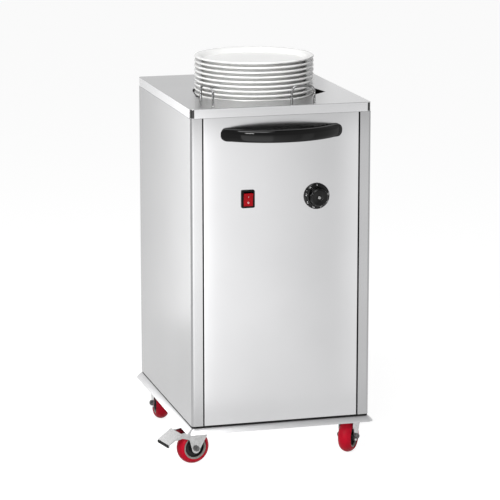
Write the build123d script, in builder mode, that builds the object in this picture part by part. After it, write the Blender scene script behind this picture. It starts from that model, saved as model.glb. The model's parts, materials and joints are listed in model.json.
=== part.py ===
from build123d import *
import os
from math import acos, cos, degrees, radians, sin

# Heated plate dispenser: a sheet steel cabinet on castors with one sprung column of plates.
# Millimetres, +Z up, floor at Z = 0, front towards -Y. The origin lies on the floor under the
# middle of the outline, so the cabinet stands a little behind it to leave room for the handle.

os.makedirs("parts", exist_ok=True)

# Cabinet
cabinet_width = 460
cabinet_depth = 562
top_height = 905
sheet = 1.5
bend_radius = 8
joint_gap = 0.5
return_width = 29
panel_gap = 3
panel_fold = 18
flange_depth = 23
corner_notch = 10

# Base tray and joint strip
castor_height = 102
deck_sheet = 2
skirt_depth = 14
skirt_flare = 10
deck_ledge = 3
strip_thickness = 4
strip_width = 22
strip_inset = 1

# Inner frame
post_leg = 21
post_sheet = 2
frame_width = 20
frame_height = 20

# Plate well and the mouth over it
well_offset = -25
well_clearance = 17
well_sheet = 1
mouth_clearance = 4.5
slot_width = 48
slot_margin = 16

# Plates
plate_diameter = 302
plate_count = 14
plate_pitch = 11.8
plate_gap = 0.2
plate_wall = 5.8
plate_rise = 24
foot_width = 9
rim_width = 20
wall_run = 3
rim_lift = 7
rim_edge = 2
stack_above_top = 92

# Platform and carriage
platform_lap = 7
platform_sheet = 2
platform_rim = 10
platform_hole = 14
platform_hole_count = 12
platform_hole_circle = 180
column_diameter = 44
column_height = 52
arm_width = 40
arm_height = 20
arm_sheet = 3
arm_stop_height = 81.6

# Guide rods, bushes and springs
rod_diameter = 12
rod_gap = 24
rod_clearance = 0.05
bush_diameter = 22
bush_length = 44
bush_flange = 30
bush_flange_thickness = 4
block_height = 20
block_width = 28
block_length = 92
collar_height = 10
spring_diameter = 14
spring_offset = 33
spring_wire = 2.4
stop_gap = 0.3

# Heating
heater_radius = 105
heater_tube = 8.5
heater_height = 27
heater_gap_angle = 30
heater_post = 10
shield_radius = 140
shield_sheet = 1
shield_height = 4
lead_diameter = 6
lead_bend = 14

# Handle
handle_length = 309
handle_height = 31
handle_bow = 58
handle_thickness = 18
handle_round = 8
handle_end_round = 14
handle_drop = 50
handle_screw = 5

# Controls
switch_x = -86
switch_drop = 227
bezel_width = 34
bezel_height = 45
bezel_proud = 4
bezel_round = 4
switch_depth = 24
bezel_lap = 2
rocker_width = 23
rocker_half_height = 16
rocker_nose = 12
rocker_dip = 9
rocker_back = 3
rocker_pivot_depth = 4
rocker_tilt = 9
rocker_play = 0.3
trunnion_diameter = 4
knob_x = 89.5
knob_drop = 228.5
knob_skirt_diameter = 65
knob_skirt = 5
knob_grip_diameter = 46
knob_depth = 29
knob_gap = 1
spindle_diameter = 6
thermostat_size = 42
thermostat_depth = 30

# Wire loops that fence the stack
fence_gap = 32
fence_azimuths = (219, 292, 39, 112)
fence_twist = -22
fence_width = 58
fence_height = 38
fence_wire = 5
fence_bend = 16
fence_nut = 9

# Castors
wheel_diameter = 85
tyre_width = 34
tyre_round = 10
rim_diameter = 61
hub_diameter = 28
web_thickness = 10
castor_trail = 16
castor_half_spacing = 200
castor_front_inset = 55
castor_rear_inset = 80
castor_plate_length = 66
castor_plate_width = 58
castor_plate_thickness = 2.5
castor_bolt_span_long = 50
castor_bolt_span_wide = 40
castor_bolt = 6
fork_gap = 37
fork_sheet = 2.5
fork_foot = 11
fork_head_diameter = 50
fork_head_height = 6
fork_head_gap = 3
king_pin = 10
axle_diameter = 8
axle_nut = 13
axle_nut_height = 6
running_clearance = 0.05
side_play = 0.3
pedal_width = 62
pedal_pivot_x = 57
pedal_pivot_z = 81
pedal_pin = 5
pedal_boss = 4.2
pedal_ear = 6
pedal_sheet = 2.5
pedal_near_x = 61
pedal_near_z = 88
pedal_far_x = 97
pedal_far_z = 65
pedal_lip = 8

# Back panel fittings
vent_length = 60
vent_width = 5
vent_pitch = 14
vent_count = 8
vent_columns = 3
vent_gap = 24
vent_end = 100
gland_x = -150
gland_height = 60
gland_bore = 9
gland_thread = 20
gland_hex = 27
gland_reach = 22
panel_screw = 4
screw_rows = 4
screw_edge = 8
screw_end = 20

# Places worked out from the sizes above
cabinet_y = (handle_bow + handle_thickness / 2 - gland_reach) / 2
front_y = cabinet_y - cabinet_depth / 2
back_y = cabinet_y + cabinet_depth / 2
half_width = cabinet_width / 2
deck_z = castor_height + deck_sheet
skirt_z = deck_z - skirt_depth
cabinet_z = deck_z + strip_thickness
flange_z = top_height - flange_depth
frame_z = top_height - sheet - frame_height
well_y = cabinet_y + well_offset
stack_rim_z = top_height + stack_above_top
stack_base_z = stack_rim_z - plate_rise - (plate_count - 1) * plate_pitch
platform_z = stack_base_z
arm_top_z = platform_z - platform_sheet - column_height
block_z = top_height - sheet - block_height
inner_x = half_width - sheet
inner_front_y = front_y + sheet
inner_back_y = back_y - sheet
inner_length = inner_back_y - inner_front_y
front_panel_half = half_width - return_width - panel_gap
well_across = plate_diameter + 2 * well_clearance
rod_x = well_across / 2 + rod_gap
fence_radius = well_across / 2 + fence_gap
rim_inner = plate_diameter / 2 - rim_width
foot_outer = rim_inner - wall_run
foot_inner = foot_outer - foot_width
platform_diameter = 2 * (foot_outer + platform_lap)
handle_top = top_height - handle_drop
switch_z = top_height - switch_drop
knob_z = top_height - knob_drop


def finish(piece, name):
    """Label a finished piece and write it as its own file."""
    piece.part.label = name
    export_step(piece.part, f"parts/{name}.step")


def upright(x, y, angle=0):
    """A level frame on the floor at (x, y) whose X axis points along an angle seen from above."""
    heading = (cos(radians(angle)), sin(radians(angle)), 0)
    return Plane(origin=(x, y, 0), x_dir=heading, z_dir=(0, 0, 1))


def side_of(frame):
    """The upright plane through a frame's X axis, with its own Y axis pointing up."""
    return Plane(origin=frame.origin, x_dir=frame.x_dir, z_dir=frame.y_dir * -1)


def facing_front(x, y, z):
    """A plane at a point that faces the front, X to the right and Y up as seen from there."""
    return Plane(origin=(x, y, z), x_dir=(1, 0, 0), z_dir=(0, -1, 0))


# Base tray: a pan with its mouth down. Its skirt flares out and hides the castors' heads.
deck_length = cabinet_width + 2 * deck_ledge
deck_width = cabinet_depth + 2 * deck_ledge
skirt_length = deck_length + 2 * skirt_flare
skirt_width = deck_width + 2 * skirt_flare
castor_front_y = front_y + castor_front_inset
castor_rear_y = back_y - castor_rear_inset
castors = {
    "front_left": (-castor_half_spacing, castor_front_y, 192, True),
    "front_right": (castor_half_spacing, castor_front_y, 234, False),
    "rear_left": (-castor_half_spacing, castor_rear_y, 268, False),
    "rear_right": (castor_half_spacing, castor_rear_y, 10, True),
}
bolt_places = [
    (x + i * castor_bolt_span_wide / 2, y + j * castor_bolt_span_long / 2)
    for x, y, angle, braked in castors.values()
    for i in (-1, 1)
    for j in (-1, 1)
]
with BuildPart() as base_tray:
    with BuildSketch(Plane.XY.offset(deck_z)):
        with Locations((0, cabinet_y)):
            RectangleRounded(deck_length, deck_width, bend_radius)
    with BuildSketch(Plane.XY.offset(skirt_z)):
        with Locations((0, cabinet_y)):
            RectangleRounded(skirt_length, skirt_width, bend_radius + skirt_flare)
    loft()
    fillet(base_tray.edges().group_by(Axis.Z)[-1], skirt_depth / 3)
    underside = base_tray.faces().sort_by(Axis.Z)[0]
    offset(amount=-deck_sheet, openings=underside)
    with BuildSketch(Plane.XY.offset(deck_z)):
        with Locations(*bolt_places):
            Circle(castor_bolt / 2 + 0.3)
    extrude(amount=-deck_sheet, mode=Mode.SUBTRACT)
finish(base_tray, "base_tray")

# Joint strip: a black rubber ring that the cabinet stands on.
with BuildPart() as joint_strip:
    with BuildSketch(Plane.XY.offset(deck_z)):
        with Locations((0, cabinet_y)):
            outer_width = cabinet_width - 2 * strip_inset
            outer_depth = cabinet_depth - 2 * strip_inset
            RectangleRounded(outer_width, outer_depth, bend_radius)
            inner_width = cabinet_width - 2 * (strip_inset + strip_width)
            inner_depth = cabinet_depth - 2 * (strip_inset + strip_width)
            Rectangle(inner_width, inner_depth, mode=Mode.SUBTRACT)
        with Locations(*bolt_places):
            Circle(castor_bolt + 1, mode=Mode.SUBTRACT)
    extrude(amount=strip_thickness)
finish(joint_strip, "joint_strip")

# Side panels: one sheet each, bent round both upright corners into a front and a rear return.
panel_height = flange_z - joint_gap - cabinet_z
for name, side in (("side_panel_left", -1), ("side_panel_right", 1)):
    with BuildPart() as side_panel:
        with BuildSketch(Plane.XY.offset(cabinet_z)):
            with Locations((0, cabinet_y)):
                RectangleRounded(cabinet_width, cabinet_depth, bend_radius)
                inner = (cabinet_width - 2 * sheet, cabinet_depth - 2 * sheet)
                RectangleRounded(*inner, bend_radius - sheet, mode=Mode.SUBTRACT)
            with Locations((-side * return_width, cabinet_y)):
                Rectangle(cabinet_width, cabinet_depth + 2 * sheet, mode=Mode.SUBTRACT)
        extrude(amount=panel_height)
    finish(side_panel, name)

# Front panel: a shallow pan between the two front returns, with the holes for its fittings.
knob_plane = facing_front(knob_x, front_y, knob_z)
switch_plane = facing_front(switch_x, front_y, switch_z)
handle_z = handle_top - handle_height / 2
handle_screw_x = handle_length / 2 - handle_end_round - handle_screw / 2
front_bottom = cabinet_z + joint_gap
with BuildPart() as front_panel:
    panel_middle = (front_bottom + flange_z - joint_gap) / 2
    with BuildSketch(facing_front(0, front_y, panel_middle)):
        Rectangle(2 * front_panel_half, flange_z - joint_gap - front_bottom)
    extrude(amount=-panel_fold)
    front_corners = front_panel.edges().filter_by(Axis.Z).group_by(Axis.Y)[0]
    fillet(front_corners, sheet * 1.5)
    back_face = front_panel.faces().sort_by(Axis.Y)[-1]
    offset(amount=-sheet, openings=back_face)
    with BuildSketch(switch_plane):
        Rectangle(bezel_width - 2 * bezel_lap, bezel_height - 2 * bezel_lap)
    extrude(amount=-sheet, mode=Mode.SUBTRACT)
    with BuildSketch(knob_plane):
        Circle(spindle_diameter)
    extrude(amount=-sheet, mode=Mode.SUBTRACT)
    with BuildSketch(facing_front(0, front_y, handle_z)):
        with Locations((-handle_screw_x, 0), (handle_screw_x, 0)):
            Circle(handle_screw / 2 + 0.3)
    extrude(amount=-sheet, mode=Mode.SUBTRACT)
finish(front_panel, "front_panel")

# Back panel: a flat sheet over the rear opening with two rows of vents and the cable hole.
back_half = half_width - bend_radius
screw_x = back_half - screw_edge
screw_pitch = (panel_height - 2 * screw_end) / (screw_rows - 1)
with BuildPart() as back_panel:
    panel_middle = cabinet_z + joint_gap + panel_height / 2
    back_plane = Plane(origin=(0, back_y, panel_middle), x_dir=(-1, 0, 0), z_dir=(0, 1, 0))
    with BuildSketch(back_plane):
        Rectangle(2 * back_half, panel_height - joint_gap)
        vent_offset = panel_height / 2 - vent_end
        for row in (-vent_offset, vent_offset):
            with Locations((0, row)):
                with GridLocations(vent_length + vent_gap, vent_pitch, vent_columns, vent_count):
                    SlotOverall(vent_length, vent_width, mode=Mode.SUBTRACT)
        with GridLocations(2 * screw_x, screw_pitch, 2, screw_rows):
            Circle(panel_screw / 2, mode=Mode.SUBTRACT)
        with Locations((-gland_x, cabinet_z + gland_height - panel_middle)):
            Circle(gland_thread / 2, mode=Mode.SUBTRACT)
    extrude(amount=sheet)
finish(back_panel, "back_panel")

# Back panel screws: pan heads on the panel, with shanks that reach into the rear returns.
with BuildPart() as back_screws:
    with BuildSketch(back_plane.offset(sheet)):
        with GridLocations(2 * screw_x, screw_pitch, 2, screw_rows):
            Circle(panel_screw)
    extrude(amount=panel_screw / 2)
    fillet(back_screws.edges().group_by(Axis.Y)[-1], panel_screw / 4)
    with BuildSketch(back_plane.offset(sheet)):
        with GridLocations(2 * screw_x, screw_pitch, 2, screw_rows):
            Circle(panel_screw / 2)
    extrude(amount=-sheet)
finish(back_screws, "back_screws")

# Top plate: pressed sheet with four folded flanges, open notched corners and the plates' mouth,
# which is round at the back and follows the well's octagon at the front.
fence_feet = []
for azimuth in fence_azimuths:
    centre = Vector(0, well_y) + Vector(fence_radius, 0).rotate(Axis.Z, azimuth)
    half_span = Vector(fence_width / 2, 0).rotate(Axis.Z, azimuth + 90 + fence_twist)
    fence_feet.append((centre - half_span, centre + half_span))
foot_places = [(foot.X, foot.Y) for pair in fence_feet for foot in pair]
well_corner = well_across / 2 / cos(radians(22.5))
mouth_radius = plate_diameter / 2 + mouth_clearance
mouth_tangent = degrees(acos(mouth_radius / well_corner)) - 22.5
mouth_corners = [(well_corner, angle) for angle in (-22.5, -67.5, -112.5, -157.5)]
mouth_outline = [
    (mouth_radius, mouth_tangent),
    *mouth_corners,
    (mouth_radius, 180 - mouth_tangent),
]
mouth_points = [(r * cos(radians(a)), r * sin(radians(a))) for r, a in mouth_outline]
with BuildPart() as top_plate:
    with BuildSketch(Plane.XY.offset(flange_z)):
        with Locations((0, cabinet_y)):
            RectangleRounded(cabinet_width, cabinet_depth, corner_notch - 1)
    extrude(amount=flange_depth)
    fillet(top_plate.edges().group_by(Axis.Z)[-1], sheet * 0.8)
    with BuildSketch(Plane.XY.offset(flange_z)):
        with Locations((0, cabinet_y)):
            Rectangle(cabinet_width - 2 * sheet, cabinet_depth - 2 * sheet)
    extrude(amount=flange_depth - sheet, mode=Mode.SUBTRACT)
    with BuildSketch(Plane.XY.offset(flange_z)):
        with Locations((0, cabinet_y)):
            with GridLocations(cabinet_width, cabinet_depth, 2, 2):
                Rectangle(2 * corner_notch, 2 * corner_notch)
    extrude(amount=flange_depth - sheet, mode=Mode.SUBTRACT)
    with BuildSketch(Plane.XY.offset(top_height)):
        with Locations((0, well_y)):
            Circle(mouth_radius)
            Polygon(*mouth_points, align=None)
        with Locations(*foot_places):
            Circle(fence_wire / 2 + 0.2)
    extrude(amount=-sheet, mode=Mode.SUBTRACT)
finish(top_plate, "top_plate")

# Top frame: a ring of angle section that stiffens the top plate and backs the panels' upper edges.
with BuildPart() as top_frame:
    with BuildSketch(Plane.XY.offset(frame_z)):
        with Locations((0, cabinet_y)):
            RectangleRounded(2 * inner_x, inner_length, bend_radius)
            hollow = (2 * (inner_x - frame_width), inner_length - 2 * frame_width)
            Rectangle(*hollow, mode=Mode.SUBTRACT)
    extrude(amount=frame_height)
    with BuildSketch(Plane.XY.offset(frame_z)):
        with Locations((0, cabinet_y)):
            Rectangle(2 * (inner_x - post_sheet), inner_length - 2 * post_sheet)
    extrude(amount=frame_height - post_sheet, mode=Mode.SUBTRACT)
finish(top_frame, "top_frame")

# Corner posts: angle sections inside the four corners, from the joint strip to the top frame.
with BuildPart() as corner_posts:
    with BuildSketch(Plane.XY.offset(cabinet_z)):
        with Locations((0, cabinet_y)):
            with GridLocations(2 * inner_x, inner_length, 2, 2):
                Rectangle(2 * post_leg, 2 * post_leg)
            outer = (2 * inner_x, inner_length)
            RectangleRounded(*outer, bend_radius - sheet, mode=Mode.INTERSECT)
            clear = (2 * (inner_x - post_sheet), inner_length - 2 * post_sheet)
            RectangleRounded(*clear, bend_radius - sheet - post_sheet, mode=Mode.SUBTRACT)
    extrude(amount=frame_z - cabinet_z)
finish(corner_posts, "corner_posts")

# Plate well: an octagonal sheet shaft from the base to the mouth, slotted for the carriage arm.
slot_low = deck_z + arm_stop_height - slot_margin
slot_high = arm_top_z + slot_margin
leg_x = heater_radius * sin(radians(heater_gap_angle / 2))
leg_y = well_y + heater_radius * cos(radians(heater_gap_angle / 2))
leg_low = deck_z + shield_height + shield_sheet + 4
lead_z = leg_low + lead_diameter
with BuildPart() as plate_well:
    with BuildSketch(Plane.XY.offset(deck_z)):
        with Locations((0, well_y)):
            RegularPolygon(well_corner + well_sheet, 8, rotation=22.5)
            RegularPolygon(well_corner, 8, rotation=22.5, mode=Mode.SUBTRACT)
    extrude(amount=top_height - sheet - deck_z)
    with BuildSketch(Plane.YZ):
        with Locations((well_y, (slot_low + slot_high) / 2)):
            SlotOverall(slot_high - slot_low, slot_width, rotation=90)
    extrude(amount=well_across, both=True, mode=Mode.SUBTRACT)
    back_flat_y = well_y + well_across / 2
    with BuildSketch(Plane(origin=(0, back_flat_y - 5, lead_z), x_dir=(1, 0, 0), z_dir=(0, 1, 0))):
        with GridLocations(2 * leg_x, 1, 2, 1):
            Circle(lead_diameter)
    extrude(amount=10, mode=Mode.SUBTRACT)
finish(plate_well, "plate_well")

# Guide rods: two polished bars beside the well that the carriage runs on.
rod_places = [(-rod_x, well_y), (rod_x, well_y)]
with BuildPart() as guide_rods:
    with BuildSketch(Plane.XY.offset(deck_z)):
        with Locations(*rod_places):
            Circle(rod_diameter / 2)
    extrude(amount=top_height - sheet - deck_z)
finish(guide_rods, "guide_rods")

# Rod blocks: an upper and a lower block on each rod. The springs hang from the upper pair.
for name, level in (("upper_rod_blocks", block_z), ("lower_rod_blocks", deck_z)):
    with BuildPart() as rod_blocks:
        with BuildSketch(Plane.XY.offset(level)):
            with Locations(*rod_places):
                RectangleRounded(block_width, block_length, 3)
                Circle(rod_diameter / 2, mode=Mode.SUBTRACT)
        extrude(amount=block_height)
    finish(rod_blocks, name)

# Stop collars: rings on the rods that the bushes come up against.
bush_middle_z = arm_top_z - arm_height / 2
bush_top_z = bush_middle_z + bush_length / 2
with BuildPart() as stop_collars:
    with BuildSketch(Plane.XY.offset(bush_top_z + stop_gap)):
        with Locations(*rod_places):
            Circle(bush_diameter / 2 + 1)
            Circle(rod_diameter / 2, mode=Mode.SUBTRACT)
    extrude(amount=collar_height)
finish(stop_collars, "stop_collars")

# Carriage arm: a channel under the platform. Its ends pass through the well's slots to the rods.
arm_half = rod_x + block_width / 2
with BuildPart() as carriage_arm:
    with BuildSketch(Plane.XY.offset(arm_top_z)):
        with Locations((0, well_y)):
            Rectangle(2 * arm_half, arm_width)
    extrude(amount=-arm_height)
    with BuildSketch(Plane.XY.offset(arm_top_z - arm_sheet)):
        with Locations((0, well_y)):
            Rectangle(2 * arm_half - 2 * arm_sheet, arm_width - 2 * arm_sheet)
    extrude(amount=-arm_height, mode=Mode.SUBTRACT)
    with BuildSketch(Plane.XY.offset(arm_top_z)):
        with Locations(*rod_places):
            Rectangle(block_width, block_length)
    extrude(amount=-arm_sheet)
    with BuildSketch(Plane.XY.offset(arm_top_z)):
        with Locations(*rod_places):
            Circle(bush_diameter / 2)
    extrude(amount=-arm_height, mode=Mode.SUBTRACT)
finish(carriage_arm, "carriage_arm")

# Bushes: flanged plastic sleeves pressed into the arm's ends, running on the rods.
with BuildPart() as carriage_bushes:
    with BuildSketch(Plane.XY.offset(bush_top_z - bush_length)):
        with Locations(*rod_places):
            Circle(bush_diameter / 2)
    extrude(amount=bush_length)
    with BuildSketch(Plane.XY.offset(arm_top_z)):
        with Locations(*rod_places):
            Circle(bush_flange / 2)
    extrude(amount=bush_flange_thickness)
    with BuildSketch(Plane.XY.offset(bush_top_z - bush_length)):
        with Locations(*rod_places):
            Circle(rod_diameter / 2 + rod_clearance)
    extrude(amount=bush_length, mode=Mode.SUBTRACT)
finish(carriage_bushes, "carriage_bushes")

# Platform: a dished disc on a short column, with holes that let the warm air up the stack.
with BuildPart() as plate_platform:
    with BuildSketch(Plane.XY.offset(platform_z)):
        with Locations((0, well_y)):
            Circle(platform_diameter / 2)
    extrude(amount=-platform_rim)
    fillet(plate_platform.edges().group_by(Axis.Z)[-1], platform_sheet * 1.5)
    with BuildSketch(Plane.XY.offset(platform_z - platform_sheet)):
        with Locations((0, well_y)):
            Circle(platform_diameter / 2 - platform_sheet)
    extrude(amount=-platform_rim, mode=Mode.SUBTRACT)
    with BuildSketch(Plane.XY.offset(platform_z - platform_sheet)):
        with Locations((0, well_y)):
            Circle(column_diameter / 2)
    extrude(amount=-column_height)
    with BuildSketch(Plane.XY.offset(platform_z)):
        with Locations((0, well_y)):
            with PolarLocations(platform_hole_circle / 2, platform_hole_count):
                Circle(platform_hole / 2)
    extrude(amount=-platform_sheet, mode=Mode.SUBTRACT)
finish(plate_platform, "plate_platform")

# Tension springs: two beside each rod, from the upper blocks to the arm's end plates.
spring_places = [(x, y + k * spring_offset) for x, y in rod_places for k in (-1, 1)]
spring_length = block_z - arm_top_z
with BuildPart() as tension_springs:
    with BuildSketch(Plane.XY.offset(arm_top_z + spring_diameter / 2)):
        with Locations(*spring_places):
            Circle(spring_diameter / 2)
    extrude(amount=spring_length - spring_diameter)
    with BuildSketch(Plane.XY.offset(arm_top_z)):
        with Locations(*spring_places):
            Circle(spring_wire)
    extrude(amount=spring_length)
finish(tension_springs, "tension_springs")

# Plates: plain round dinner plates that nest on their foot rings.
radius = plate_diameter / 2
floor_top = plate_pitch - plate_gap
floor_low = floor_top - plate_wall
rim_inner_top = plate_rise - rim_lift
rim_low = plate_rise - plate_wall + 1
with BuildPart() as plate_stack:
    for level in range(plate_count):
        base = stack_base_z + level * plate_pitch
        with BuildSketch(Plane.XZ.offset(-well_y)):
            with BuildLine():
                Polyline(
                    (0, base + floor_top),
                    (foot_outer, base + floor_top),
                    (rim_inner, base + rim_inner_top),
                    (radius - rim_edge, base + plate_rise),
                    (radius, base + plate_rise - rim_edge),
                    (radius - rim_edge, base + rim_low),
                    (rim_inner + rim_edge, base + rim_inner_top - plate_wall),
                    (rim_inner, base + floor_low),
                    (foot_outer, base),
                    (foot_inner, base),
                    (foot_inner - rim_edge, base + floor_low),
                    (0, base + floor_low),
                    close=True,
                )
            make_face()
        revolve(axis=Axis((0, well_y, 0), (0, 0, 1)), mode=Mode.ADD)
finish(plate_stack, "plate_stack")

# Heating element: an open ring of sheathed tube over the base, with two terminal legs.
heater_z = deck_z + heater_height
heater_sweep = 360 - heater_gap_angle
heater_start = 90 + heater_gap_angle / 2
leg_places = [(-leg_x, leg_y), (leg_x, leg_y)]
with BuildPart() as heating_element:
    with BuildLine():
        ring = CenterArc((0, well_y, heater_z), heater_radius, heater_start, heater_sweep)
    with BuildSketch(Plane(origin=ring @ 0, z_dir=ring % 0)):
        Circle(heater_tube / 2)
    sweep()
    with BuildSketch(Plane.XY.offset(leg_low)):
        with Locations(*leg_places):
            Circle(heater_tube / 2 - 0.5)
    extrude(amount=heater_z - leg_low)
finish(heating_element, "heating_element")

# Element posts: ceramic pillars that carry the ring clear of the shield.
with BuildPart() as element_posts:
    with BuildSketch(Plane.XY.offset(deck_z)):
        with Locations((0, well_y)):
            with PolarLocations(heater_radius, 3, start_angle=-90):
                Circle(heater_post / 2)
    extrude(amount=heater_height - heater_tube / 2 - stop_gap)
finish(element_posts, "element_posts")

# Heat shield: a disc on four feet that keeps the heat off the base tray.
with BuildPart() as heat_shield:
    with BuildSketch(Plane.XY.offset(deck_z + shield_height)):
        with Locations((0, well_y)):
            Circle(shield_radius)
            with PolarLocations(heater_radius, 3, start_angle=-90):
                Circle(heater_post / 2 + 1, mode=Mode.SUBTRACT)
    extrude(amount=shield_sheet)
    with BuildSketch(Plane.XY.offset(deck_z)):
        with Locations((0, well_y)):
            with PolarLocations(shield_radius - 10, 4, start_angle=45):
                Circle(4)
    extrude(amount=shield_height)
finish(heat_shield, "heat_shield")

# Handle: a broad moulded bar that bows out from the front panel.
handle_plane = Plane.XY.offset(handle_z)
bow_overrun = 12
bow_end = handle_length / 2
with BuildPart() as handle:
    with BuildLine(handle_plane):
        bow = ThreePointArc(
            (-bow_end, front_y + bow_overrun),
            (0, front_y - handle_bow),
            (bow_end, front_y + bow_overrun),
        )
    with BuildSketch(Plane(origin=bow @ 0, x_dir=(0, 0, 1), z_dir=bow % 0)):
        RectangleRounded(handle_height, handle_thickness, handle_round)
    sweep()
    split(bisect_by=facing_front(0, front_y, handle_z), keep=Keep.TOP)
    with BuildSketch(facing_front(0, front_y, handle_z)):
        RectangleRounded(handle_length, handle_height, handle_end_round)
    extrude(amount=handle_bow + handle_thickness, mode=Mode.INTERSECT)
    with BuildSketch(facing_front(0, front_y, handle_z)):
        with Locations((-handle_screw_x, 0), (handle_screw_x, 0)):
            Circle(handle_screw / 2)
    extrude(amount=handle_screw, mode=Mode.SUBTRACT)
finish(handle, "handle")

# Handle screws: put in from behind the front panel.
with BuildPart() as handle_screws:
    with BuildSketch(facing_front(0, front_y + sheet, handle_z)):
        with Locations((-handle_screw_x, 0), (handle_screw_x, 0)):
            Circle(handle_screw)
    extrude(amount=-handle_screw / 2)
    with BuildSketch(facing_front(0, front_y + sheet, handle_z)):
        with Locations((-handle_screw_x, 0), (handle_screw_x, 0)):
            Circle(handle_screw / 2)
    extrude(amount=sheet + handle_screw)
finish(handle_screws, "handle_screws")

# Switch housing: a bezel on the panel and a body through it, open in front for the rocker.
pocket_height = 2 * (rocker_half_height + rocker_nose * sin(radians(rocker_tilt)) + rocker_play)
pocket_depth = rocker_pivot_depth + rocker_back + 6
with BuildPart() as switch_housing:
    with BuildSketch(switch_plane):
        RectangleRounded(bezel_width, bezel_height, bezel_round)
    extrude(amount=bezel_proud)
    fillet(switch_housing.edges().group_by(Axis.Y)[0], 1.5)
    with BuildSketch(switch_plane):
        Rectangle(bezel_width - 2 * bezel_lap, bezel_height - 2 * bezel_lap)
    extrude(amount=-switch_depth)
    with BuildSketch(switch_plane.offset(bezel_proud)):
        Rectangle(rocker_width + 2 * rocker_play, pocket_height)
    extrude(amount=-bezel_proud - pocket_depth, mode=Mode.SUBTRACT)
    pivot_y = front_y + rocker_pivot_depth
    with BuildSketch(Plane(origin=(switch_x, pivot_y, switch_z), x_dir=(0, 1, 0), z_dir=(1, 0, 0))):
        Circle(trunnion_diameter / 2)
    extrude(amount=rocker_width / 2 + 2, both=True, mode=Mode.SUBTRACT)
finish(switch_housing, "switch_housing")

# Rocker: a two-faced key that tips on its trunnions. It is drawn with its lower half pressed in.
tilt_sine = sin(radians(rocker_tilt))
tilt_cosine = cos(radians(rocker_tilt))
pivot = (switch_x, pivot_y, switch_z)
tilt_plane = Plane(origin=pivot, x_dir=(0, -tilt_cosine, -tilt_sine), z_dir=(-1, 0, 0))
with BuildPart() as rocker:
    with BuildSketch(tilt_plane):
        with BuildLine():
            Polyline(
                (rocker_nose, rocker_half_height),
                (rocker_dip, 0),
                (rocker_nose, -rocker_half_height),
                (rocker_nose - 5, -rocker_half_height),
                (-rocker_back, -rocker_half_height / 3),
                (-rocker_back, rocker_half_height / 3),
                (rocker_nose - 5, rocker_half_height),
                close=True,
            )
        make_face()
    extrude(amount=rocker_width / 2, both=True)
    fillet(rocker.edges().filter_by(Axis.X).sort_by(Axis.Y)[0], 1)
    with BuildSketch(tilt_plane):
        Circle(trunnion_diameter / 2 - running_clearance)
    extrude(amount=rocker_width / 2 + 1.5, both=True)
finish(rocker, "rocker")

# Thermostat: the body behind the panel, the turning spindle and the dial knob.
with BuildPart() as thermostat_body:
    with BuildSketch(knob_plane.offset(-sheet)):
        Rectangle(thermostat_size, thermostat_size)
    extrude(amount=-thermostat_depth)
    with BuildSketch(knob_plane.offset(-sheet)):
        Circle(spindle_diameter / 2 + running_clearance)
    extrude(amount=-thermostat_depth / 2, mode=Mode.SUBTRACT)
finish(thermostat_body, "thermostat_body")

with BuildPart() as thermostat_spindle:
    with BuildSketch(knob_plane.offset(-sheet - thermostat_depth / 2 + stop_gap)):
        Circle(spindle_diameter / 2)
    extrude(amount=thermostat_depth / 2 - stop_gap + sheet + knob_depth / 2)
finish(thermostat_spindle, "thermostat_spindle")

with BuildPart() as thermostat_knob:
    with BuildSketch(knob_plane.offset(knob_gap)):
        Circle(knob_skirt_diameter / 2)
    extrude(amount=knob_skirt)
    fillet(thermostat_knob.edges().group_by(Axis.Y)[0], 2)
    with BuildSketch(knob_plane.offset(knob_gap + knob_skirt)):
        Circle(knob_grip_diameter / 2)
    extrude(amount=knob_depth - knob_gap - knob_skirt, taper=3)
    fillet(thermostat_knob.edges().group_by(Axis.Y)[0], 2.5)
    with BuildSketch(knob_plane.offset(knob_gap)):
        Circle(spindle_diameter / 2)
    extrude(amount=knob_depth / 2 - knob_gap, mode=Mode.SUBTRACT)
finish(thermostat_knob, "thermostat_knob")


def bent_tube(points, bend, diameter):
    """A round lead or wire along straight runs with rounded corners."""
    with BuildPart(mode=Mode.PRIVATE) as tube:
        with BuildLine():
            route = FilletPolyline(*points, radius=bend)
        with BuildSketch(Plane(origin=route @ 0, z_dir=route % 0)):
            Circle(diameter / 2)
        sweep()
    return tube


# Sensing bulb: a copper phial on the outside of the well, fed by a capillary from the thermostat.
bulb_diameter = 8
bulb_length = 70
bulb_drop = 170
bulb_x = 40
bulb_y = well_y - well_across / 2 - well_sheet - bulb_diameter / 2 - stop_gap
bulb_z = knob_z - bulb_drop
capillary_y = front_y + sheet + thermostat_depth
with BuildPart() as sensing_bulb:
    with BuildSketch(Plane.XY.offset(bulb_z)):
        with Locations((bulb_x, bulb_y)):
            Circle(bulb_diameter / 2)
    extrude(amount=bulb_length)
    fillet(sensing_bulb.edges().group_by(Axis.Z)[0], bulb_diameter / 4)
finish(sensing_bulb, "sensing_bulb")

capillary = bent_tube(
    [
        (knob_x - 10, capillary_y, knob_z - 8),
        (knob_x - 10, capillary_y + 12, knob_z - 8),
        (knob_x - 20, capillary_y + 18, knob_z - 48),
        (bulb_x, bulb_y, bulb_z + bulb_length + 30),
        (bulb_x, bulb_y, bulb_z + bulb_length),
    ],
    5,
    2,
)
finish(capillary, "capillary")

# Wire loops: four polished hoops through the top plate that fence the stack, nutted below it.
foot_drop = sheet + fence_nut
crown_z = top_height + fence_height - fence_wire / 2
with BuildPart() as wire_loops:
    for start, end in fence_feet:
        loop = bent_tube(
            [
                (start.X, start.Y, top_height - foot_drop),
                (start.X, start.Y, crown_z),
                (end.X, end.Y, crown_z),
                (end.X, end.Y, top_height - foot_drop),
            ],
            fence_bend,
            fence_wire,
        )
        add(loop.part)
finish(wire_loops, "wire_loops")

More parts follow.
